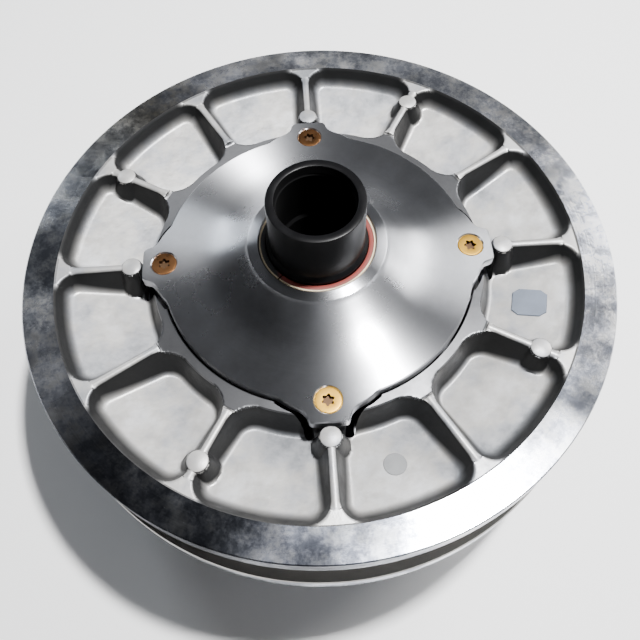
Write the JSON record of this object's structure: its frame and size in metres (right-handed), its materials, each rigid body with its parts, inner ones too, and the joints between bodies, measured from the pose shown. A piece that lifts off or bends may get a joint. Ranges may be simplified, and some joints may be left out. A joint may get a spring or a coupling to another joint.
{
  "type": "cvt driven pulley set",
  "caption": "Driven pulley set of a belt CVT: V-belt sheaves on a hollow post, the inner one tied by towers to a turned cover, with helix, rollers and spring.",
  "frame": {"origin": "centre of the post's inner end face, which is the bottom centre of the bounding box", "axes": "+Z along the post towards its open outer end; the cover screws lie on +X, +Y, -X and -Y"},
  "size_m": [0.264, 0.264, 0.1436],
  "materials": {
    "cast_aluminium": "as-cast ribs with turned rim and belt faces",
    "turned_aluminium": "bright turned, fine circular tool marks",
    "black_steel": "black satin coated steel",
    "bearing_steel": "ground or plain steel",
    "spring_steel": "coated spring wire",
    "gold_zinc": "yellow zinc plated",
    "bush_liner": "red-brown woven or filled liner",
    "roller_polymer": "moulded polymer"
  },
  "bodies": {
    "post_assembly": {"post": "black_steel", "roller_spider": "bearing_steel", "spider_snap_ring": "bearing_steel", "roller_pin_1": "bearing_steel", "roller_pin_2": "bearing_steel", "roller_pin_3": "bearing_steel", "roller_washer_1": "bearing_steel", "roller_washer_2": "bearing_steel", "roller_washer_3": "bearing_steel", "bearing_inner_race": "bearing_steel", "bearing_upper_snap_ring": "bearing_steel", "bearing_lower_snap_ring": "bearing_steel", "bearing_shim": "bearing_steel", "spring": "spring_steel"},
    "outer_sheave_assembly": {"outer_sheave": "cast_aluminium", "bearing_outer_race": "bearing_steel", "hub_circlip": "bearing_steel"},
    "inner_sheave_assembly": {"inner_sheave": "cast_aluminium", "cover": "turned_aluminium", "cover_bushing": "bush_liner", "inner_sheave_bushing": "bush_liner", "cover_screw_1": "gold_zinc", "cover_screw_2": "gold_zinc", "cover_screw_3": "gold_zinc", "cover_screw_4": "gold_zinc", "helix_flange": "turned_aluminium", "helix_ramp_1": "turned_aluminium", "helix_ramp_2": "turned_aluminium", "helix_ramp_3": "turned_aluminium", "helix_screw_1": "bearing_steel", "helix_screw_2": "bearing_steel", "helix_screw_3": "bearing_steel", "helix_screw_4": "bearing_steel"},
    "bearing_ball_set": {"bearing_balls": "bearing_steel"},
    "roller_1_body": {"roller_1": "roller_polymer"},
    "roller_2_body": {"roller_2": "roller_polymer"},
    "roller_3_body": {"roller_3": "roller_polymer"}
  },
  "joints": [
    {"name": "sheave_turn", "type": "hinge", "parent": "post_assembly", "child": "outer_sheave_assembly", "pos_m": [0, 0, 0.0655], "axis": [0, 0, 1], "range_deg": [0, 32.61]},
    {"name": "shift", "type": "slide", "parent": "outer_sheave_assembly", "child": "inner_sheave_assembly", "axis": [0, 0, -1], "range_m": [0, 0.022], "stiffness_N_per_m": 6000, "springref_m": -0.03, "deforming": ["spring"]},
    {"name": "ball_set_turn", "type": "hinge", "parent": "post_assembly", "child": "bearing_ball_set", "pos_m": [0, 0, 0.0655], "axis": [0, 0, 1], "range_deg": [0, 17.92]},
    {"name": "roller_1_spin", "type": "hinge", "parent": "post_assembly", "child": "roller_1_body", "pos_m": [0.0435, 0, 0.016], "axis": [-1, 0, 0], "range_deg": [0, 237.5]},
    {"name": "roller_2_spin", "type": "hinge", "parent": "post_assembly", "child": "roller_2_body", "pos_m": [-0.02175, 0.03767, 0.016], "axis": [0.5, -0.866, 0], "range_deg": [0, 237.5]},
    {"name": "roller_3_spin", "type": "hinge", "parent": "post_assembly", "child": "roller_3_body", "pos_m": [-0.02175, -0.03767, 0.016], "axis": [0.5, 0.866, 0], "range_deg": [0, 237.5]}
  ],
  "couplings": [
    {"joint": "sheave_turn", "follows": "shift", "rad_per_m": 25.829},
    {"joint": "ball_set_turn", "follows": "shift", "rad_per_m": 14.179},
    {"joint": "roller_1_spin", "follows": "shift", "rad_per_m": 188.02},
    {"joint": "roller_2_spin", "follows": "shift", "rad_per_m": 188.02},
    {"joint": "roller_3_spin", "follows": "shift", "rad_per_m": 188.02}
  ]
}
